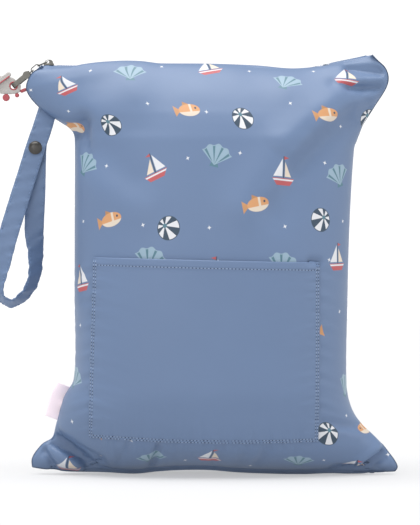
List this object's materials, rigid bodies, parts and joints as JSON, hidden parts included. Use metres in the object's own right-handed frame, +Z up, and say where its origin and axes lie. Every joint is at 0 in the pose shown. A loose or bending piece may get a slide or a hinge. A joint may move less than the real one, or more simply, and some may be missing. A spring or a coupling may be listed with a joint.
{
  "type": "waterproof zip bag",
  "caption": "Filled waterproof cloth bag standing upright, zipped across the top, with a patch pocket, a snapped wrist strap, a side label and a charm on the zip pull.",
  "frame": {"origin": "under the middle of the part's bounding box, on the surface it stands on", "axes": "+Z up, -Y towards the pocket, +X to the right as the pocket is seen"},
  "size_m": [0.3628, 0.1426, 0.3679],
  "materials": {
    "printed_cloth": "satin",
    "plain_cloth": "satin",
    "label_cloth": "matte",
    "zip_tape": "matte",
    "zip_coil": "satin",
    "steel": "satin",
    "gunmetal": "satin",
    "charm_white": "satin",
    "charm_red": "satin"
  },
  "bodies": {
    "root": {"front_panel": "printed_cloth", "back_panel": "printed_cloth", "front_pocket": "plain_cloth", "side_label": "label_cloth", "zip_tape": "zip_tape", "zip_coil": "zip_coil", "zip_slider": "steel", "pull_link_1": "steel", "pull_link_2": "steel", "pull_clasp": "gunmetal", "charm_hull": "charm_white", "charm_nose": "charm_red", "charm_tail": "charm_red", "charm_wing": "charm_white", "charm_wheel_1": "charm_red", "charm_wheel_2": "charm_red", "wrist_strap": "plain_cloth", "snap_cap": "gunmetal", "snap_core": "gunmetal", "snap_back": "gunmetal"}
  },
  "joints": []
}
